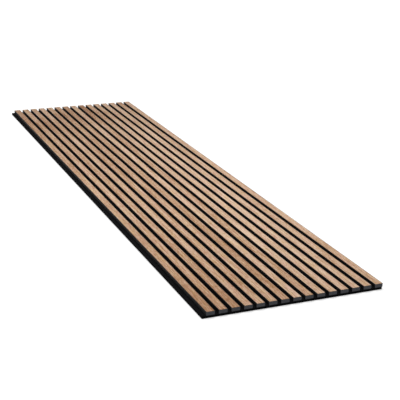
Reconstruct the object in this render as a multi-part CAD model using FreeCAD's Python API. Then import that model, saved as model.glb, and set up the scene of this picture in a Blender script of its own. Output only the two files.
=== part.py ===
import FreeCAD, Part
import os

# Acoustic slat wall panel, lying on its back.
# Slats of black fibreboard, each with a wood veneer face, stand side by side along one
# sheet of felt. Staples driven through the felt from behind hold every slat.
# The last groove of the pattern is left open beside the first slat, as a bare margin of
# felt, so that the next panel's last slat closes it and the pattern runs on.
# All sizes are in millimetres. +X runs across the slats, +Y along them, and +Z out of
# the veneered face. The origin is the middle of the back face.

# Driving dimensions
PANEL_LENGTH = 2400.0
SLAT_COUNT = 15
SLAT_WIDTH = 27.0
GROOVE_WIDTH = 13.0
CORE_HEIGHT = 11.4
VENEER_THICKNESS = 0.6
VENEER_ARRIS = 0.3
FELT_THICKNESS = 8.0
# The felt stops short of the last slat's outer face, so that two panels close up tight.
FELT_SETBACK = 2.0

STAPLES_PER_SLAT = 6
STAPLE_END_DISTANCE = 50.0
STAPLE_CROWN = 10.0
STAPLE_WIRE_WIDTH = 1.2
STAPLE_WIRE_THICKNESS = 0.7
STAPLE_SINK = 0.3
STAPLE_BITE = 6.0
# All round the wire, apart from the two faces where the crown bears on the felt.
STAPLE_CLEARANCE = 0.05

# Worked out from the driving dimensions
SLAT_PITCH = SLAT_WIDTH + GROOVE_WIDTH
PANEL_WIDTH = SLAT_COUNT * SLAT_PITCH
LEFT_EDGE = -PANEL_WIDTH / 2
NEAR_END = -PANEL_LENGTH / 2
VENEER_BOTTOM = FELT_THICKNESS + CORE_HEIGHT


def block(low_corner, size):
    """Rectangular block from its lowest corner and its size along X, Y and Z."""
    return Part.makeBox(*size, FreeCAD.Vector(*low_corner))


def slat_left_face(index):
    """X of a slat's left face, counted from 0 at the felt margin."""
    return LEFT_EDGE + GROOVE_WIDTH + index * SLAT_PITCH


def staple_centres(index):
    """Where the staples of one slat stand, as (x, y), evenly spaced along its centre line."""
    x = slat_left_face(index) + SLAT_WIDTH / 2
    first = NEAR_END + STAPLE_END_DISTANCE
    spacing = (PANEL_LENGTH - 2 * STAPLE_END_DISTANCE) / (STAPLES_PER_SLAT - 1)
    return [(x, first + number * spacing) for number in range(STAPLES_PER_SLAT)]


def all_staple_centres():
    """The staple centres of every slat in one list."""
    return [centre for index in range(SLAT_COUNT) for centre in staple_centres(index)]


def staple(x, y):
    """One staple: a flat crown along X with a leg at each end that reaches into the slat."""
    height = FELT_THICKNESS + STAPLE_BITE - STAPLE_SINK
    y_low = y - STAPLE_WIRE_WIDTH / 2
    outside = block((x - STAPLE_CROWN / 2, y_low, STAPLE_SINK), (STAPLE_CROWN, STAPLE_WIRE_WIDTH, height))
    between_legs = STAPLE_CROWN - 2 * STAPLE_WIRE_THICKNESS
    inside = block(
        (x - between_legs / 2, y_low, STAPLE_SINK + STAPLE_WIRE_THICKNESS),
        (between_legs, STAPLE_WIRE_WIDTH, height - STAPLE_WIRE_THICKNESS),
    )
    return outside.cut(inside).Solids[0]


def staple_leg_hole(x, y, side):
    """The hole of one leg, from the back face up to the leg's tip. side is -1 or 1 along X."""
    width = STAPLE_WIRE_THICKNESS + 2 * STAPLE_CLEARANCE
    depth = STAPLE_WIRE_WIDTH + 2 * STAPLE_CLEARANCE
    leg_centre = x + side * (STAPLE_CROWN - STAPLE_WIRE_THICKNESS) / 2
    height = FELT_THICKNESS + STAPLE_BITE + STAPLE_CLEARANCE
    return block((leg_centre - width / 2, y - depth / 2, 0), (width, depth, height))


def staple_crown_slot(x, y):
    """The slot in the felt's back that the crown is pressed into, down to where it bears."""
    width = STAPLE_CROWN + 2 * STAPLE_CLEARANCE
    depth = STAPLE_WIRE_WIDTH + 2 * STAPLE_CLEARANCE
    height = STAPLE_SINK + STAPLE_WIRE_THICKNESS
    return block((x - width / 2, y - depth / 2, 0), (width, depth, height))


def leg_holes(centres):
    """The leg holes of the staples at some centres, as a list of solids."""
    return [staple_leg_hole(x, y, side) for x, y in centres for side in (-1, 1)]


def felt_backing():
    """The felt sheet, with the slots and holes that the staples have cut."""
    size = (PANEL_WIDTH - FELT_SETBACK, PANEL_LENGTH, FELT_THICKNESS)
    sheet = block((LEFT_EDGE, NEAR_END, 0), size)
    centres = all_staple_centres()
    slots = [staple_crown_slot(x, y) for x, y in centres]
    return sheet.cut(Part.makeCompound(slots)).cut(Part.makeCompound(leg_holes(centres))).Solids[0]


def slat_core(index):
    """The fibreboard body of one slat, seated on the felt, with its staple holes."""
    low_corner = (slat_left_face(index), NEAR_END, FELT_THICKNESS)
    strip = block(low_corner, (SLAT_WIDTH, PANEL_LENGTH, CORE_HEIGHT))
    return strip.cut(Part.makeCompound(leg_holes(staple_centres(index)))).Solids[0]


def slat_veneer(index):
    """The veneer on one core, its two long top edges eased by a small chamfer."""
    left = slat_left_face(index)
    right = left + SLAT_WIDTH
    top = VENEER_BOTTOM + VENEER_THICKNESS
    section = [
        (left, VENEER_BOTTOM),
        (right, VENEER_BOTTOM),
        (right, top - VENEER_ARRIS),
        (right - VENEER_ARRIS, top),
        (left + VENEER_ARRIS, top),
        (left, top - VENEER_ARRIS),
    ]
    corners = [FreeCAD.Vector(x, NEAR_END, z) for x, z in section]
    outline = Part.makePolygon(corners + corners[:1])
    return Part.Face(outline).extrude(FreeCAD.Vector(0, PANEL_LENGTH, 0))


def staples():
    """Every staple, as one group of separate solids."""
    return Part.makeCompound([staple(x, y) for x, y in all_staple_centres()])


def panel_pieces():
    """Every piece of the panel by its name."""
    pieces = {"felt_backing": felt_backing(), "staples": staples()}
    for index in range(SLAT_COUNT):
        pieces[f"slat_core_{index + 1:02d}"] = slat_core(index)
        pieces[f"slat_veneer_{index + 1:02d}"] = slat_veneer(index)
    return pieces


os.makedirs("parts", exist_ok=True)
for name, shape in panel_pieces().items():
    shape.exportStep(f"parts/{name}.step")
    print(name, len(shape.Solids), "solids,", round(shape.Volume), "mm3")
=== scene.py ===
"""The look of the acoustic slat wall panel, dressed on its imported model.

Everything is in metres in the panel's own frame: +X runs across the slats, +Y along them and +Z
out of the wood faces. The panel lies on its back on a pale floor. Sizes in the finishes are in
millimetres, because a grain or a fibre is easier to read that way.
"""

import logging
import math
from dataclasses import dataclass
from enum import Enum
from typing import Any

import bpy
from mathutils import Matrix, Vector


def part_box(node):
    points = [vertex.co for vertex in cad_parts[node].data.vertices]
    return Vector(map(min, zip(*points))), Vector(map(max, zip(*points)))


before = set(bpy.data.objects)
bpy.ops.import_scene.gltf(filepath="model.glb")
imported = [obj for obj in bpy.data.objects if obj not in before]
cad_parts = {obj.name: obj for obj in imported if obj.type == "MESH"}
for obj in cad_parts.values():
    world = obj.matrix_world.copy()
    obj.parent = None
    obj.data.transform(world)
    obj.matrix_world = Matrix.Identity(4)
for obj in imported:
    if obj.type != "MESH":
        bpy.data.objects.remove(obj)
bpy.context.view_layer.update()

MM_PER_M = 1000.0

# The curve that a screen lays over light: straight at first, then a power.
FULL_CHANNEL = 255.0
CURVE_BEND = 0.04045
CURVE_SLOPE = 12.92
CURVE_OFFSET = 0.055
CURVE_POWER = 2.4

# A camera looks straight down until it is turned up by this many degrees.
LEVEL_TURN = 90.0
# Rows and columns of a matrix that turns and places an object.
MATRIX_SIZE = 4

Colour = tuple[float, float, float, float]
Size = tuple[float, float, float]
Span = tuple[float, float]

# Fades of a noise, from where it starts to show to where it shows fully: as separate specks or
# as broad clouds.
SPECKS: Span = (0.5, 0.75)
CLOUDS: Span = (0.38, 0.72)
# A surface counts as facing along an axis once this much of its normal lies along it.
FACING: Span = (0.5, 0.7)

log = logging.getLogger("slat_panel")


def paint(red: int, green: int, blue: int) -> Colour:
    """Turns a colour as a screen shows it into the linear values that a shader takes.

    Args:
        red: Red from 0 to 255.
        green: Green from 0 to 255.
        blue: Blue from 0 to 255.

    Returns:
        The linear colour, with full alpha.
    """

    def linear(channel: int) -> float:
        """Undoes the screen's curve for one channel.

        Args:
            channel: The channel's value.

        Returns:
            Its light, from 0 to 1.
        """
        share = channel / FULL_CHANNEL
        if share <= CURVE_BEND:
            return share / CURVE_SLOPE
        return ((share + CURVE_OFFSET) / (1.0 + CURVE_OFFSET)) ** CURVE_POWER

    return linear(red), linear(green), linear(blue), 1.0


class Signal:
    """A value that changes over a surface. Each operator on it adds one Math node."""

    def __init__(self, sheet: "NodeSheet", socket: bpy.types.NodeSocket | None) -> None:
        """Wraps a node's output.

        Args:
            sheet: The node sheet that holds the node.
            socket: The output socket, or None where the node has none.
        """
        self.sheet = sheet
        self.socket = socket

    def _maths(self, operation: str, *terms: "Signal | float") -> "Signal":
        """Adds one Math node.

        Args:
            operation: The node's operation, such as ADD.
            terms: Its inputs in order.

        Returns:
            The node's value.
        """
        settings = {"operation": operation}
        return self.sheet.node("ShaderNodeMath", settings, dict(enumerate(terms)), "Value")

    def __add__(self, other: "Signal | float") -> "Signal":
        """Gives self + other."""
        return self._maths("ADD", self, other)

    def __radd__(self, other: float) -> "Signal":
        """Gives other + self."""
        return self._maths("ADD", other, self)

    def __sub__(self, other: "Signal | float") -> "Signal":
        """Gives self - other."""
        return self._maths("SUBTRACT", self, other)

    def __rsub__(self, other: float) -> "Signal":
        """Gives other - self."""
        return self._maths("SUBTRACT", other, self)

    def __mul__(self, other: "Signal | float") -> "Signal":
        """Gives self * other."""
        return self._maths("MULTIPLY", self, other)

    def __rmul__(self, other: float) -> "Signal":
        """Gives other * self."""
        return self._maths("MULTIPLY", other, self)

    def __truediv__(self, other: "Signal | float") -> "Signal":
        """Gives self / other."""
        return self._maths("DIVIDE", self, other)

    def __rtruediv__(self, other: float) -> "Signal":
        """Gives other / self."""
        return self._maths("DIVIDE", other, self)

    def __abs__(self) -> "Signal":
        """Gives the value without its sign."""
        return self._maths("ABSOLUTE", self)

    def larger(self, other: "Signal | float") -> "Signal":
        """Gives the larger of two values at each point."""
        return self._maths("MAXIMUM", self, other)

    def wrapped(self, period: float) -> "Signal":
        """Repeats the value's range, so that it runs from half a period below 0 to half above."""
        return self._maths("WRAP", self, period / 2, -period / 2)

    def rise(self, low: float, high: float) -> "Signal":
        """Fades from 0 where the value is low to 1 where it is high.

        Args:
            low: The value that gives 0. It may be above high, and the fade then runs the other way.
            high: The value that gives 1.

        Returns:
            The smooth fade.
        """
        settings = {"interpolation_type": "SMOOTHSTEP"}
        inputs = {"Value": self, "From Min": low, "From Max": high}
        return self.sheet.node("ShaderNodeMapRange", settings, inputs, "Result")


Point = tuple[Signal | float, Signal | float, Signal | float]


class NodeSheet:
    """The node tree of one material or world, filled by node()."""

    def __init__(self, owner: bpy.types.Material | bpy.types.World) -> None:
        """Empties the owner's tree and takes it over.

        Args:
            owner: The material or world to fill.
        """
        owner.use_nodes = True
        self.tree = owner.node_tree
        self.tree.nodes.clear()

    @staticmethod
    def _find(sockets: Any, key: str | int) -> bpy.types.NodeSocket:
        """Finds a socket by its index, its identifier or its name.

        Args:
            sockets: A node's inputs or outputs.
            key: What to look for.

        Returns:
            The socket.
        """
        if isinstance(key, int):
            return sockets[key]
        return next((s for s in sockets if s.identifier == key), None) or sockets[key]

    def node(
        self,
        kind: str,
        settings: dict[str, Any] | None = None,
        inputs: dict[str | int, Any] | None = None,
        output: str | int = 0,
    ) -> Signal:
        """Adds a node, sets it and links it.

        Args:
            kind: The node's type, such as ShaderNodeTexNoise.
            settings: Its own settings, which are set first. "stops" holds a ramp's stops.
            inputs: Its inputs by name, identifier or index: a Signal is linked, a value is set.
            output: The output to return.

        Returns:
            That output.
        """
        made = self.tree.nodes.new(kind)
        for name, value in (settings or {}).items():
            if name != "stops":
                setattr(made, name, value)
                continue
            for spare in list(made.color_ramp.elements)[1:]:
                made.color_ramp.elements.remove(spare)
            for number, (place, colour) in enumerate(value):
                ramp = made.color_ramp.elements
                stop = ramp[0] if number == 0 else ramp.new(place)
                stop.position = place
                stop.color = colour
        for key, value in (inputs or {}).items():
            socket = self._find(made.inputs, key)
            if isinstance(value, Signal):
                self.tree.links.new(value.socket, socket)
            else:
                socket.default_value = value
        return Signal(self, self._find(made.outputs, output) if made.outputs else None)

    def place(self) -> tuple[Signal, Signal, Signal]:
        """Finds where a point of the surface is.

        Returns:
            Its X, Y and Z in the panel's frame, in millimetres.
        """
        point = self.node("ShaderNodeTexCoord", output="Object")
        inputs = {0: point, 1: (MM_PER_M,) * 3}
        scaled = self.node("ShaderNodeVectorMath", {"operation": "MULTIPLY"}, inputs, "Vector")
        return self.parts(scaled)

    def facing(self) -> tuple[Signal, Signal, Signal]:
        """Gives the parts of the surface's own normal along X, Y and Z."""
        return self.parts(self.node("ShaderNodeTexCoord", output="Normal"))

    def seen_directly(self) -> Signal:
        """Tells what is seen, also in gloss or through glass, from what only sheds light.

        Returns:
            1 for what is seen and 0 for its light.
        """
        path = self.node("ShaderNodeLightPath", output="Is Camera Ray")
        outputs = path.socket.node.outputs
        gloss, glass = (Signal(self, outputs[f"Is {kind} Ray"]) for kind in ("Glossy", "Transmission"))
        return path.larger(gloss).larger(glass)

    def parts(self, vector: Signal) -> tuple[Signal, Signal, Signal]:
        """Splits a vector.

        Args:
            vector: The vector to split.

        Returns:
            Its X, Y and Z.
        """
        split = self.node("ShaderNodeSeparateXYZ", inputs={"Vector": vector}, output="X")
        outputs = split.socket.node.outputs
        return split, Signal(self, outputs["Y"]), Signal(self, outputs["Z"])

    def noise(self, point: Point, size: Size, detail: float = 2.0, roughness: float = 0.5) -> Signal:
        """Adds a noise.

        Args:
            point: Where it is read.
            size: How large its blotches are along each axis, in the point's own units.
            detail: How many finer layers lie on the first.
            roughness: How strong the finer layers are.

        Returns:
            The noise, mostly from 0.25 to 0.75.
        """
        shares = [part / extent for part, extent in zip(point, size, strict=True)]
        scaled = self.node("ShaderNodeCombineXYZ", inputs=dict(enumerate(shares)))
        inputs = {"Vector": scaled, "Scale": 1.0, "Detail": detail, "Roughness": roughness}
        return self.node("ShaderNodeTexNoise", {"noise_dimensions": "3D"}, inputs, "Fac")

    def mix(self, share: Signal | float, first: Any, second: Any, blend: str = "MIX") -> Signal:
        """Mixes two colours.

        Args:
            share: How much of the second colour to take, from 0 to 1.
            first: A colour or a Signal that carries one.
            second: The same.
            blend: The Mix node's way of blending.

        Returns:
            The mixed colour.
        """
        settings = {"data_type": "RGBA", "blend_type": blend}
        inputs = {"Factor_Float": share, "A_Color": first, "B_Color": second}
        return self.node("ShaderNodeMix", settings, inputs, "Result_Color")

    def bump(self, height: Signal, depth_mm: float) -> Signal:
        """Turns a height into a normal.

        Args:
            height: The height, mostly from 0 to 1.
            depth_mm: How far apart 0 and 1 lie.

        Returns:
            The normal.
        """
        inputs = {"Strength": 1.0, "Distance": depth_mm / MM_PER_M, "Height": height}
        return self.node("ShaderNodeBump", inputs=inputs, output="Normal")

    def surface(self, **inputs: Any) -> Signal:
        """Adds a Principled BSDF.

        Args:
            inputs: Its inputs by name, with _ for a space.

        Returns:
            The shader.
        """
        named = {key.replace("_", " "): value for key, value in inputs.items()}
        return self.node("ShaderNodeBsdfPrincipled", inputs=named, output="BSDF")

    def finish(self, shader: Signal, kind: str = "ShaderNodeOutputMaterial") -> None:
        """Sends a shader to the tree's output, which is of the given kind."""
        self.node(kind, inputs={"Surface": shader})


def dress(piece: bpy.types.Object, material: bpy.types.Material) -> None:
    """Puts one material on every slot of a piece.

    Args:
        piece: The piece to dress.
        material: Its finish.
    """
    if not piece.material_slots:
        piece.data.materials.append(material)
    for slot in piece.material_slots:
        slot.material = material


class Tone(Enum):
    """How dark a slat's veneer is, from 0 for the palest wood to 1 for the darkest."""

    BROWN = 0.59
    TAN = 0.57
    MEDIUM = 0.55
    LIGHT = 0.49
    PALE = 0.42


@dataclass(frozen=True)
class Figure:
    """A darker or paler stretch in a slat's veneer.

    Attributes:
        place: Its middle, as a share of the slat's length from the near end.
        reach: Half its length, as a share of the slat's length.
        depth: How dark it is, up to 1. A paler stretch is below 0.
    """

    place: float
    reach: float
    depth: float


@dataclass(frozen=True)
class VeneerLeaf:
    """The veneer of one slat.

    Attributes:
        tone: How dark the whole leaf is.
        figures: Its darker and paler stretches.
    """

    tone: Tone
    figures: tuple[Figure, ...]


# The leaves from the felt margin to the last slat.
LEAVES = (
    VeneerLeaf(
        Tone.BROWN,
        (
            Figure(0.0, 0.17, 0.5),
            Figure(0.46, 0.08, -0.28),
            Figure(0.92, 0.14, 0.45),
        ),
    ),
    VeneerLeaf(
        Tone.MEDIUM,
        (
            Figure(0.03, 0.18, 0.35),
            Figure(0.37, 0.08, -0.25),
            Figure(0.87, 0.07, 0.5),
            Figure(0.96, 0.05, -0.25),
        ),
    ),
    VeneerLeaf(
        Tone.BROWN,
        (
            Figure(0.02, 0.15, 0.5),
            Figure(0.42, 0.12, -0.15),
            Figure(0.86, 0.08, 0.55),
            Figure(0.96, 0.05, -0.25),
        ),
    ),
    VeneerLeaf(Tone.LIGHT, (Figure(0.08, 0.12, 0.2), Figure(0.84, 0.1, 0.38))),
    VeneerLeaf(
        Tone.TAN,
        (
            Figure(0.08, 0.12, 0.2),
            Figure(0.58, 0.12, 0.35),
            Figure(0.93, 0.04, 0.25),
        ),
    ),
    VeneerLeaf(Tone.MEDIUM, (Figure(0.86, 0.2, 0.3), Figure(0.94, 0.03, 0.4))),
    VeneerLeaf(Tone.BROWN, (Figure(0.15, 0.2, 0.4), Figure(0.94, 0.09, 0.55))),
    VeneerLeaf(Tone.PALE, (Figure(0.91, 0.11, 0.42),)),
    VeneerLeaf(Tone.TAN, (Figure(0.02, 0.07, 0.12), Figure(0.95, 0.1, 0.95))),
    VeneerLeaf(Tone.PALE, (Figure(0.2, 0.12, -0.3), Figure(0.9, 0.14, 0.7))),
    VeneerLeaf(
        Tone.PALE,
        (
            Figure(0.0, 0.07, 0.28),
            Figure(0.2, 0.14, 0.1),
            Figure(0.92, 0.12, 0.42),
        ),
    ),
    VeneerLeaf(Tone.PALE, (Figure(0.32, 0.15, -0.25), Figure(0.88, 0.06, 0.45))),
    VeneerLeaf(Tone.PALE, (Figure(0.06, 0.1, 0.28), Figure(0.22, 0.05, -0.15))),
    VeneerLeaf(Tone.LIGHT, (Figure(0.71, 0.07, -0.2), Figure(0.97, 0.07, 0.55))),
    VeneerLeaf(Tone.LIGHT, (Figure(0.1, 0.12, 0.17), Figure(0.75, 0.2, -0.2))),
)


@dataclass(frozen=True)
class Streaks:
    """Streaks of one size that run along a veneer's grain.

    Attributes:
        width: How wide they are, in millimetres.
        length: How long they are, in millimetres.
        layer: Where they lie in the noise, so that no two kinds share a pattern.
        strength: How strongly they show.
        detail: How many finer layers lie on them.
        roughness: How strong the finer layers are.
    """

    width: float
    length: float
    layer: float
    strength: float = 1.0
    detail: float = 3.0
    roughness: float = 0.55

    def on(self, sheet: NodeSheet, across: Signal, along: Signal, seed: float) -> Signal:
        """Lays the streaks on a leaf.

        Args:
            sheet: The leaf's node sheet.
            across: Millimetres across the grain.
            along: Millimetres along the grain.
            seed: Where the leaf lies in the noise.

        Returns:
            From about -0.25 in a pale streak to 0.25 in a dark one.
        """
        point = (across, along, seed + self.layer)
        return sheet.noise(point, (self.width, self.length, 1.0), self.detail, self.roughness) - 0.5


@dataclass(frozen=True)
class Grain:
    """The grain of one leaf, laid out over its face.

    Attributes:
        bands: The broad bands, without their strength.
        lines: The fine lines, without their strength.
        fibres: The finest threads, without their strength.
        height: All streaks together, each with its own strength.
        pores: 1 in an open pore and 0 outside it.
    """

    bands: Signal
    lines: Signal
    fibres: Signal
    height: Signal
    pores: Signal


@dataclass(frozen=True)
class VeneerFinish:
    """Satin light brown veneer with straight grain along the slat. Sizes are in millimetres.

    Attributes:
        shades: The wood's colour from the palest tone to the darkest.
        leaf_step: How far apart two leaves lie in the noise.
        sway: The grain's wandering sideways, with its strength in millimetres.
        bands: Broad bands of pale and dark wood.
        lines: Fine grain lines.
        flecks: Short, broken streaks.
        fibres: The finest threads of grain.
        drift: Slow changes over the whole leaf.
        figure_strength: How strongly a figure shows.
        figure_fray: How far the grain draws out a figure's ends, as a share of the length.
        hue: Yellower and pinker streaks.
        hue_full: Where in its streak a hue is full.
        ochre: The light that the yellower wood gives back.
        rose: The light that the pinker wood gives back.
        pores: Open pores.
        pore_mouth: Where in its streak a pore starts and where it is fully open.
        pored_wood: How dark the wood starts to have pores and has all of them.
        pore: The colour of a pore.
        pore_cover: How fully that colour covers the wood.
        edge_stain_and_shade_width: How far the dark band creeps in over each long edge. It is partly the
            arris stained black and partly painted shade that deepens the gaps between slats.
        edge_stain_and_shade_blur: How gradually that band ends.
        edge_stain_and_shade_fray: How far the grain frays it.
        worn_width: Width of the paler wood beside it.
        worn_cover: How pale that wood is.
        sawn: The colour of the sawn ends and of the dark edge band, whose darkness is partly painted shade
            of the gaps.
        satin: The wood's roughness.
        grain_satin: How much rougher the darkest grain is.
        pore_satin: How much rougher a pore is.
        gloss: How strongly the lacquer shines.
        relief: Depth of the pores and lines.
    """

    shades: tuple[tuple[float, Colour], ...] = (
        (0.0, paint(232, 207, 185)),
        (0.3, paint(215, 187, 162)),
        (0.55, paint(190, 155, 125)),
        (0.8, paint(162, 118, 80)),
        (1.0, paint(126, 82, 50)),
    )
    leaf_step: float = 17.3
    sway: Streaks = Streaks(60.0, 620.0, layer=0.0, strength=10.0, detail=1.0)
    bands: Streaks = Streaks(3.6, 300.0, layer=3.1, strength=0.5)
    lines: Streaks = Streaks(1.2, 160.0, layer=5.7, strength=1.3)
    flecks: Streaks = Streaks(2.6, 20.0, layer=8.9, strength=0.9)
    fibres: Streaks = Streaks(0.3, 55.0, layer=17.6, strength=1.1, detail=2.0)
    drift: Streaks = Streaks(120.0, 260.0, layer=11.3, strength=0.08, detail=2.0)
    figure_strength: float = 0.35
    figure_fray: float = 0.12
    hue: Streaks = Streaks(5.0, 45.0, layer=21.0, detail=2.0)
    hue_full: float = 0.13
    ochre: Colour = (1.0, 0.96, 0.79, 1.0)
    rose: Colour = (1.0, 0.89, 0.91, 1.0)
    pores: Streaks = Streaks(0.22, 7.0, layer=14.2, detail=0.0)
    pore_mouth: Span = (0.12, 0.2)
    pored_wood: Span = (-0.1, 0.12)
    pore: Colour = paint(100, 70, 50)
    pore_cover: float = 0.6
    # Painted shade: the dark edge band set here is partly the arris stained black and partly shade painted
    # in to deepen the gaps between slats.
    edge_stain_and_shade_width: float = 1.5
    edge_stain_and_shade_blur: float = 0.5
    edge_stain_and_shade_fray: float = 3.0
    worn_width: float = 3.4
    worn_cover: float = 0.25
    sawn: Colour = paint(20, 16, 13)
    satin: float = 0.55
    grain_satin: float = 0.2
    pore_satin: float = 0.15
    gloss: float = 0.12
    relief: float = 0.03

    def material(self, number: int, leaf: VeneerLeaf, low: Vector, high: Vector) -> bpy.types.Material:
        """Makes one slat's veneer.

        Args:
            number: The slat's number, which also sets its grain apart from its neighbours'.
            leaf: The slat's own tone and figures.
            low: The veneer's lowest corner in millimetres.
            high: Its highest corner in millimetres.

        Returns:
            The material.
        """
        made = bpy.data.materials.new(f"veneer_leaf_{number:02d}")
        sheet = NodeSheet(made)
        x, y, _ = sheet.place()
        seed = self.leaf_step * number
        across = x - (low.x + high.x) / 2
        aside = across + self.sway.on(sheet, across, y, seed) * self.sway.strength
        grain = self._grain(sheet, aside, y, seed)

        share = (y - low.y) / (high.y - low.y) + grain.bands * self.figure_fray
        drift = self.drift.on(sheet, across, y, seed) * self.drift.strength
        depth = grain.height + drift + self._figures(leaf, share) + leaf.tone.value
        wood = self._wood(sheet, depth, self.hue.on(sheet, aside, y, seed), grain.pores)
        inset = (high.x - low.x) / 2 - abs(across) + (grain.fibres + grain.lines) * self.edge_stain_and_shade_fray
        roughness = grain.height * self.grain_satin + grain.pores * self.pore_satin + self.satin
        sheet.finish(
            sheet.surface(
                Base_Color=self._edge_stained_and_shaded(sheet, wood, inset),
                Roughness=roughness,
                Specular_IOR_Level=self.gloss,
                Normal=sheet.bump(grain.height - grain.pores + 0.5, self.relief),
            )
        )
        return made

    def _grain(self, sheet: NodeSheet, across: Signal, along: Signal, seed: float) -> Grain:
        """Lays the streaks and the pores of a leaf.

        Args:
            sheet: The leaf's node sheet.
            across: Millimetres across the grain, with its sway.
            along: Millimetres along the grain.
            seed: Where the leaf lies in the noise.

        Returns:
            The leaf's grain.
        """
        kinds = (self.bands, self.lines, self.flecks, self.fibres)
        bands, lines, flecks, fibres = (kind.on(sheet, across, along, seed) for kind in kinds)
        height = bands * self.bands.strength + lines * self.lines.strength
        height = height + flecks * self.flecks.strength + fibres * self.fibres.strength
        pores = self.pores.on(sheet, across, along, seed).rise(*self.pore_mouth)
        pores = pores * (bands + lines).rise(*self.pored_wood)
        return Grain(bands, lines, fibres, height, pores)

    def _wood(self, sheet: NodeSheet, depth: Signal, hue: Signal, pores: Signal) -> Signal:
        """Colours the bare wood.

        Args:
            sheet: The leaf's node sheet.
            depth: How dark the wood is, from 0 to 1.
            hue: Above 0 where the wood is yellower and below 0 where it is pinker.
            pores: 1 in an open pore.

        Returns:
            The wood's colour.
        """
        wood = sheet.node("ShaderNodeValToRGB", {"stops": self.shades}, {0: depth})
        wood = sheet.mix(hue.rise(0.0, self.hue_full), wood, self.ochre, "MULTIPLY")
        wood = sheet.mix(hue.rise(0.0, -self.hue_full), wood, self.rose, "MULTIPLY")
        return sheet.mix(pores * self.pore_cover, wood, self.pore)

    def _edge_stained_and_shaded(self, sheet: NodeSheet, wood: Signal, inset: Signal) -> Signal:
        """Lays the worn edge, the dark edge band (the arris stained black, and partly painted gap shade)
        and the sawn ends over the wood.

        Args:
            sheet: The leaf's node sheet.
            wood: The wood's colour.
            inset: How far a point lies in from the nearer long edge, frayed by the grain.

        Returns:
            The veneer's colour.
        """
        worn = inset.rise(self.worn_width, 0.0) * self.worn_cover
        # Painted shade: the dark band over each long edge is partly the arris stained black and partly
        # shade painted in to deepen the gaps between slats.
        edge_stain_and_shade = inset.rise(self.edge_stain_and_shade_width + self.edge_stain_and_shade_blur, self.edge_stain_and_shade_width - self.edge_stain_and_shade_blur)
        sideways, endways, _ = sheet.facing()
        cut = abs(sideways).larger(abs(endways)).rise(*FACING)
        _, palest = self.shades[0]
        return sheet.mix(cut.larger(edge_stain_and_shade), sheet.mix(worn, wood, palest), self.sawn)

    def _figures(self, leaf: VeneerLeaf, share: Signal) -> Signal | float:
        """Adds up a leaf's figures.

        Args:
            leaf: The leaf.
            share: The share of the slat's length from the near end, frayed by the grain.

        Returns:
            How much darker the wood is.
        """
        total: Signal | float = 0.0
        for figure in leaf.figures:
            strength = figure.depth * self.figure_strength
            total = total + abs(share - figure.place).rise(figure.reach, 0.0) * strength
        return total


@dataclass(frozen=True)
class FibreboardFinish:
    """Black through-dyed fibreboard: smooth sides and paler, rougher sawn ends.

    Sizes are in millimetres.

    Attributes:
        side: Colour of the smooth sides.
        sawn: Colour of the sawn ends.
        fibre: Colour of the pale fibres in a sawn end.
        specks: Size of those fibres.
        speck_detail: How many finer layers lie on them.
        speck_roughness: How strong those layers are.
        speck_cover: How fully the fibres' colour shows.
        layers: Size of the darker, denser layers in a sawn end.
        layer_cover: How dark they are.
        streaks: Size of the marks that the cutter leaves on the sides.
        streak_cover: How pale they are.
        smooth: Roughness of the sides.
        end_roughness: How much rougher the sawn ends are.
        streak_share: How much the cutter's marks add to the roughness, and to the relief.
        gloss: How strongly the board shines.
        relief: Depth of the saw's marks.
    """

    side: Colour = paint(12, 12, 13)
    sawn: Colour = paint(72, 73, 77)
    fibre: Colour = paint(112, 112, 115)
    specks: Size = (0.5, 3.0, 0.25)
    speck_detail: float = 3.0
    speck_roughness: float = 0.7
    speck_cover: float = 0.6
    layers: Size = (14.0, 40.0, 1.3)
    layer_cover: float = 0.3
    streaks: Size = (2.0, 160.0, 0.9)
    streak_cover: float = 0.2
    smooth: float = 0.5
    end_roughness: float = 0.3
    streak_share: float = 0.2
    gloss: float = 0.15
    relief: float = 0.12

    def material(self) -> bpy.types.Material:
        """Makes the fibreboard.

        Returns:
            The material.
        """
        made = bpy.data.materials.new("dyed_fibreboard")
        sheet = NodeSheet(made)
        point = sheet.place()
        end = abs(sheet.facing()[1]).rise(*FACING)
        specks = sheet.noise(point, self.specks, self.speck_detail, self.speck_roughness)
        layers = sheet.noise(point, self.layers)
        streaks = sheet.noise(point, self.streaks)
        face = sheet.mix(specks.rise(*SPECKS) * self.speck_cover, self.sawn, self.fibre)
        face = sheet.mix(layers.rise(*SPECKS) * self.layer_cover, face, self.side)
        flank = sheet.mix(streaks.rise(*SPECKS) * self.streak_cover, self.side, self.sawn)
        marks = streaks * self.streak_share
        sheet.finish(
            sheet.surface(
                Base_Color=sheet.mix(end, flank, face),
                Roughness=end * self.end_roughness + marks + self.smooth,
                Specular_IOR_Level=self.gloss,
                Normal=sheet.bump(specks * end + marks, self.relief),
            )
        )
        return made


@dataclass(frozen=True)
class StapleGrid:
    """Where the staples stand in the back of the panel, in millimetres.

    Attributes:
        corner: X and Y of the first staple's middle.
        across: From one staple to the next along X.
        along: From one staple to the next along Y.
    """

    corner: tuple[float, float]
    across: float
    along: float


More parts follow.
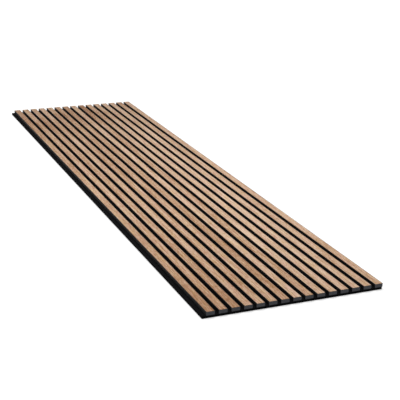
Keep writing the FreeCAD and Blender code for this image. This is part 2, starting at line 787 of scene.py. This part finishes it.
@dataclass(frozen=True)
class FeltFinish:
    """Black pressed felt with a matted, fibrous face and layered cut edges.

    Sizes are in millimetres.

    Attributes:
        mass: Colour of the felt's mass.
        fibre: Colour of the fibres that catch the light.
        fibre_length: Length of a fibre.
        fibre_width: Width of a fibre.
        fibre_height: How thick a layer of fibres is.
        fibre_turns: The directions that fibres lie in, in degrees from X.
        fibre_step: How far apart the layers of two directions lie in the noise.
        fibre_edge: Where a fibre starts to show and shows fully.
        fibre_cover: How fully a fibre's colour shows.
        bend: Size of the stretches in which fibres bend the same way.
        curl: How far a fibre bends aside.
        strata: Size of the layers in a cut edge.
        strata_roughness: How broken those layers are.
        strata_cover: How pale they are.
        cloud: Size of the worn, paler patches.
        cloud_cover: How pale they are.
        dull: The felt's roughness.
        cloud_dull: How much rougher the paler patches are.
        gloss: How strongly the felt shines.
        relief: Depth of the fibres.
        dimple: How far a staple pulls the felt in around itself, along X and Y.
        dimple_bed: The part of a dimple that is as deep as its middle.
        dimple_depth: Depth of a dimple.
    """

    mass: Colour = paint(7, 7, 8)
    fibre: Colour = paint(42, 42, 45)
    fibre_length: float = 4.5
    fibre_width: float = 0.2
    fibre_height: float = 0.6
    fibre_turns: tuple[float, ...] = (11.0, 63.0, 115.0, 155.0)
    fibre_step: float = 7.7
    fibre_edge: Span = (0.58, 0.68)
    fibre_cover: float = 0.45
    bend: Size = (6.0, 6.0, 6.0)
    curl: float = 5.0
    strata: Size = (7.0, 7.0, 0.45)
    strata_roughness: float = 0.6
    strata_cover: float = 0.25
    cloud: Size = (26.0, 34.0, 26.0)
    cloud_cover: float = 0.12
    dull: float = 0.86
    cloud_dull: float = 0.1
    gloss: float = 0.02
    relief: float = 0.12
    dimple: tuple[float, float] = (10.0, 6.0)
    dimple_bed: float = 0.1
    dimple_depth: float = 0.7

    def _fibres(self, sheet: NodeSheet, x: Signal, y: Signal, z: Signal) -> Signal:
        """Lays fibres in several directions over each other.

        Args:
            sheet: The node sheet.
            x: X in millimetres.
            y: Y in millimetres.
            z: Z in millimetres.

        Returns:
            1 on a fibre and 0 beside it.
        """
        size = (self.fibre_length, self.fibre_width, self.fibre_height)
        bend = (sheet.noise((x, y, z), self.bend, 1.0) - 0.5) * self.curl
        total = None
        for number, turn in enumerate(map(math.radians, self.fibre_turns)):
            ahead = x * math.cos(turn) + y * math.sin(turn)
            aside = y * math.cos(turn) - x * math.sin(turn) + bend
            layer = z + number * self.fibre_step * self.fibre_height
            strands = sheet.noise((ahead, aside, layer), size, 1.0).rise(*self.fibre_edge)
            total = strands if total is None else total.larger(strands)
        return total

    def _dimples(self, x: Signal, y: Signal, up: Signal, staples: StapleGrid) -> Signal:
        """Pulls the back in around each staple.

        Args:
            x: X in millimetres.
            y: Y in millimetres.
            up: How far the surface faces up.
            staples: Where the staples stand.

        Returns:
            1 in the middle of a dimple and 0 outside it.
        """
        across = (x - staples.corner[0]).wrapped(staples.across) / self.dimple[0]
        along = (y - staples.corner[1]).wrapped(staples.along) / self.dimple[1]
        back = (0.0 - up).rise(*FACING)
        return (across * across + along * along).rise(1.0, self.dimple_bed) * back

    def material(self, staples: StapleGrid) -> bpy.types.Material:
        """Makes the felt.

        Args:
            staples: Where the staples stand.

        Returns:
            The material.
        """
        made = bpy.data.materials.new("pressed_felt")
        sheet = NodeSheet(made)
        x, y, z = sheet.place()
        _, _, up = sheet.facing()
        face = abs(up).rise(*FACING)
        fibres = self._fibres(sheet, x, y, z)
        strata = sheet.noise((x, y, z), self.strata, roughness=self.strata_roughness)
        cloud = sheet.noise((x, y, z), self.cloud)
        mass = sheet.mix(cloud.rise(*CLOUDS) * self.cloud_cover, self.mass, self.fibre)
        felt = sheet.mix(fibres * self.fibre_cover, mass, self.fibre)
        edge = sheet.mix(strata.rise(*CLOUDS) * self.strata_cover, self.mass, self.fibre)
        dimples = self._dimples(x, y, up, staples) * (self.dimple_depth / self.relief)
        sheet.finish(
            sheet.surface(
                Base_Color=sheet.mix(face, edge, felt),
                Roughness=cloud * self.cloud_dull + self.dull,
                Specular_IOR_Level=self.gloss,
                Normal=sheet.bump(fibres + strata - dimples, self.relief),
            )
        )
        return made


@dataclass(frozen=True)
class StapleFinish:
    """Galvanised flat wire, drawn lengthwise. Sizes are in millimetres.

    Attributes:
        zinc: Colour of the clean zinc.
        dull: Colour of the duller streaks.
        streaks: Size of a streak.
        polish: Roughness of the clean zinc.
        streak_roughness: How much rougher the streaks are.
        relief: Depth of the drawing marks.
    """

    zinc: Colour = paint(196, 198, 200)
    dull: Colour = paint(140, 141, 143)
    streaks: Size = (6.0, 0.12, 6.0)
    polish: float = 0.28
    streak_roughness: float = 0.25
    relief: float = 0.01

    def material(self) -> bpy.types.Material:
        """Makes the wire.

        Returns:
            The material.
        """
        made = bpy.data.materials.new("galvanised_wire")
        sheet = NodeSheet(made)
        drawn = sheet.noise(sheet.place(), self.streaks)
        sheet.finish(
            sheet.surface(
                Base_Color=sheet.mix(drawn.rise(*CLOUDS), self.zinc, self.dull),
                Roughness=drawn * self.streak_roughness + self.polish,
                Metallic=1.0,
                Normal=sheet.bump(drawn, self.relief),
            )
        )
        return made


def gather(name: str, pieces: list[bpy.types.Object]) -> None:
    """Moves pieces into a collection of their own.

    Args:
        name: The collection's name.
        pieces: The pieces.
    """
    group = bpy.data.collections.new(name)
    bpy.context.scene.collection.children.link(group)
    for piece in pieces:
        for old in list(piece.users_collection):
            old.objects.unlink(piece)
        group.objects.link(piece)


def slat_nodes(piece: str) -> list[str]:
    """Names the CAD nodes of one piece of every slat.

    Args:
        piece: The piece, veneer or core.

    Returns:
        The names from the felt margin to the last slat.
    """
    return [f"slat_{piece}_{number:02d}" for number in range(1, len(LEAVES) + 1)]


def box_mm(node: str) -> tuple[Vector, Vector]:
    """Gives a CAD node's lowest and highest corners in millimetres."""
    low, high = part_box(node)
    return low * MM_PER_M, high * MM_PER_M


@dataclass
class WoodFaces:
    """The veneers, one on each slat.

    Attributes:
        veneer: Their finish.
    """

    veneer: VeneerFinish = VeneerFinish()

    def dress(self) -> None:
        """Gives every veneer its own leaf."""
        names = slat_nodes("veneer")
        gather("wood_faces", [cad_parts[name] for name in names])
        for number, (name, leaf) in enumerate(zip(names, LEAVES, strict=True), start=1):
            dress(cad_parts[name], self.veneer.material(number, leaf, *box_mm(name)))
            log.info("%s: %s leaf", name, leaf.tone.name.lower())


@dataclass
class SlatCores:
    """The fibreboard bodies of the slats.

    Attributes:
        board: Their finish.
    """

    board: FibreboardFinish = FibreboardFinish()

    def dress(self) -> None:
        """Gives every core the same board."""
        names = slat_nodes("core")
        gather("slat_cores", [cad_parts[name] for name in names])
        material = self.board.material()
        for name in names:
            dress(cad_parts[name], material)
            log.info("%s: black fibreboard", name)


@dataclass
class FeltBacking:
    """The felt sheet behind the slats.

    Attributes:
        node: Its CAD node.
        staples: The CAD node of the staples.
        staples_per_slat: How many staples hold each slat.
        felt: Its finish.
    """

    node: str = "felt_backing"
    staples: str = "staples"
    staples_per_slat: int = 6
    felt: FeltFinish = FeltFinish()

    def _grid(self) -> StapleGrid:
        """Works out where the staples stand from the slats and the outermost staples.

        Returns:
            The places of their middles.
        """
        first, second, *_ = slat_nodes("core")
        slat_low, slat_high = box_mm(first)
        next_low, _ = box_mm(second)
        low, high = box_mm(self.staples)
        return StapleGrid(
            corner=((slat_low.x + slat_high.x) / 2, low.y),
            across=next_low.x - slat_low.x,
            along=(high.y - low.y) / (self.staples_per_slat - 1),
        )

    def dress(self) -> None:
        """Gives the sheet its finish."""
        gather("felt", [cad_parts[self.node]])
        dress(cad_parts[self.node], self.felt.material(self._grid()))
        log.info("%s: pressed felt", self.node)


@dataclass
class Staples:
    """The staples behind the slats.

    Attributes:
        node: Their CAD node.
        joining: Faces closer than this, in metres, are joined before they are rounded.
        rounding: Radius of the wire's edges and bends, in metres.
        steps: Faces in each rounding.
        wire: Their finish.
    """

    node: str = "staples"
    joining: float = 1e-6
    rounding: float = 0.00025
    steps: int = 2
    wire: StapleFinish = StapleFinish()

    def dress(self) -> None:
        """Rounds the wire and gives it its finish."""
        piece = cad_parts[self.node]
        gather("staples", [piece])
        piece.modifiers.new("joined_faces", "WELD").merge_threshold = self.joining
        bevel = piece.modifiers.new("rounded_wire", "BEVEL")
        bevel.width = self.rounding
        bevel.segments = self.steps
        bevel.limit_method = "ANGLE"
        dress(piece, self.wire.material())
        log.info("%s: galvanised wire", self.node)


@dataclass
class Studio:
    """The floor, the light and the camera.

    Attributes:
        floor_side: Side of the square floor in metres.
        floor_drop: How far the floor lies under the panel, so that no faces coincide.
        floor_colour: The floor's own colour.
        floor_level: How bright the camera sees the floor. A little over 1 keeps it white.
        sky_strength: Strength of the even light from all round.
        lamp_power: Power of the overhead lamp in watts.
        lamp_side: Side of the square lamp in metres.
        lamp_place: The lamp's middle in metres.
        eye: The camera's place in metres.
        heading: The camera's heading in degrees, from +Y towards +X.
        tilt: How far the camera looks down, in degrees.
        roll: How far the camera leans, in degrees.
        lens: Focal length in millimetres on a 36 mm wide sensor.
    """

    floor_side: float = 60.0
    floor_drop: float = 0.0003
    floor_colour: Colour = (0.8, 0.8, 0.8, 1.0)
    floor_level: float = 1.14
    sky_strength: float = 0.5
    lamp_power: float = 36.0
    lamp_side: float = 1.6
    lamp_place: tuple[float, float, float] = (0.0, -0.3, 2.3)
    eye: tuple[float, float, float] = (-1.3448, -3.6236, 1.2923)
    heading: float = 23.048
    tilt: float = 19.463
    roll: float = 1.248
    lens: float = 92.17

    def _glow(self, sheet: NodeSheet) -> Signal:
        """Works out what the lit floor lacks to look evenly white.

        The lamp's light on the floor falls with the fourth power of the cosine at which it
        arrives. Being wide, the lamp counts as a small one that is a little further away: the
        mean square distance of a square's points from its middle is a sixth of its area.

        Args:
            sheet: The floor's node sheet.

        Returns:
            The brightness to add.
        """
        lamp_x, lamp_y, lamp_height = self.lamp_place
        reach = math.sqrt(lamp_height**2 + self.lamp_side**2 / 6)
        under_lamp = self.floor_colour[0] * self.lamp_power * (lamp_height / math.pi) ** 2 / reach**4
        x, y, _ = sheet.place()
        across = (x / MM_PER_M - lamp_x) / reach
        along = (y / MM_PER_M - lamp_y) / reach
        spread = across * across + along * along + 1.0
        wanted = self.floor_level - self.floor_colour[0] * self.sky_strength
        return wanted - under_lamp / (spread * spread)

    def _floor(self) -> None:
        """Lays the floor, which looks white where it is lit and keeps the panel's shadow."""
        half = self.floor_side / 2
        corners = [(-half, -half), (half, -half), (half, half), (-half, half)]
        mesh = bpy.data.meshes.new("floor")
        mesh.from_pydata([(x, y, -self.floor_drop) for x, y in corners], [], [(0, 1, 2, 3)])
        floor = bpy.data.objects.new("floor", mesh)
        bpy.context.scene.collection.objects.link(floor)
        material = bpy.data.materials.new("pale_floor")
        sheet = NodeSheet(material)
        plain = {"Base_Color": self.floor_colour, "Roughness": 1.0, "Specular_IOR_Level": 0.0}
        matt = sheet.surface(**plain)
        white = sheet.surface(**plain, Emission_Color=self._glow(sheet), Emission_Strength=1.0)
        inputs = {0: sheet.seen_directly(), 1: matt, 2: white}
        sheet.finish(sheet.node("ShaderNodeMixShader", inputs=inputs))
        dress(floor, material)
        log.info("floor: stage")

    def _sky(self) -> None:
        """Surrounds the panel with even light, behind a white background."""
        world = bpy.data.worlds.new("studio")
        bpy.context.scene.world = world
        sheet = NodeSheet(world)
        light, white = (
            sheet.node("ShaderNodeBackground", inputs={"Color": (1.0, 1.0, 1.0, 1.0), "Strength": strength})
            for strength in (self.sky_strength, 1.0)
        )
        inputs = {0: sheet.seen_directly(), 1: light, 2: white}
        sheet.finish(sheet.node("ShaderNodeMixShader", inputs=inputs), "ShaderNodeOutputWorld")

    def _lamp(self) -> None:
        """Hangs one wide, soft lamp over the panel's near half, which dims towards its ends."""
        lamp = bpy.data.lights.new("overhead_lamp", "AREA")
        lamp.energy = self.lamp_power
        lamp.size = self.lamp_side
        holder = bpy.data.objects.new("overhead_lamp", lamp)
        holder.location = self.lamp_place
        holder.visible_camera = False
        bpy.context.scene.collection.objects.link(holder)

    def _camera(self) -> None:
        """Sets up the camera where the photograph was taken from."""
        camera = bpy.data.cameras.new("camera")
        camera.lens = self.lens
        holder = bpy.data.objects.new("camera", camera)
        turns = (
            Matrix.Rotation(math.radians(-self.heading), MATRIX_SIZE, "Z")
            @ Matrix.Rotation(math.radians(LEVEL_TURN - self.tilt), MATRIX_SIZE, "X")
            @ Matrix.Rotation(math.radians(self.roll), MATRIX_SIZE, "Z")
        )
        holder.matrix_world = Matrix.Translation(self.eye) @ turns
        bpy.context.scene.collection.objects.link(holder)
        bpy.context.scene.camera = holder

    def build(self) -> None:
        """Puts up the whole studio."""
        self._floor()
        self._sky()
        self._lamp()
        self._camera()
        bpy.context.scene.view_settings.view_transform = "Standard"


def main() -> None:
    """Builds the studio and dresses every piece of the panel."""
    logging.basicConfig(level=logging.INFO, format="%(message)s")
    Studio().build()
    WoodFaces().dress()
    FeltBacking().dress()
    SlatCores().dress()
    Staples().dress()


if __name__ == "__main__":
    main()
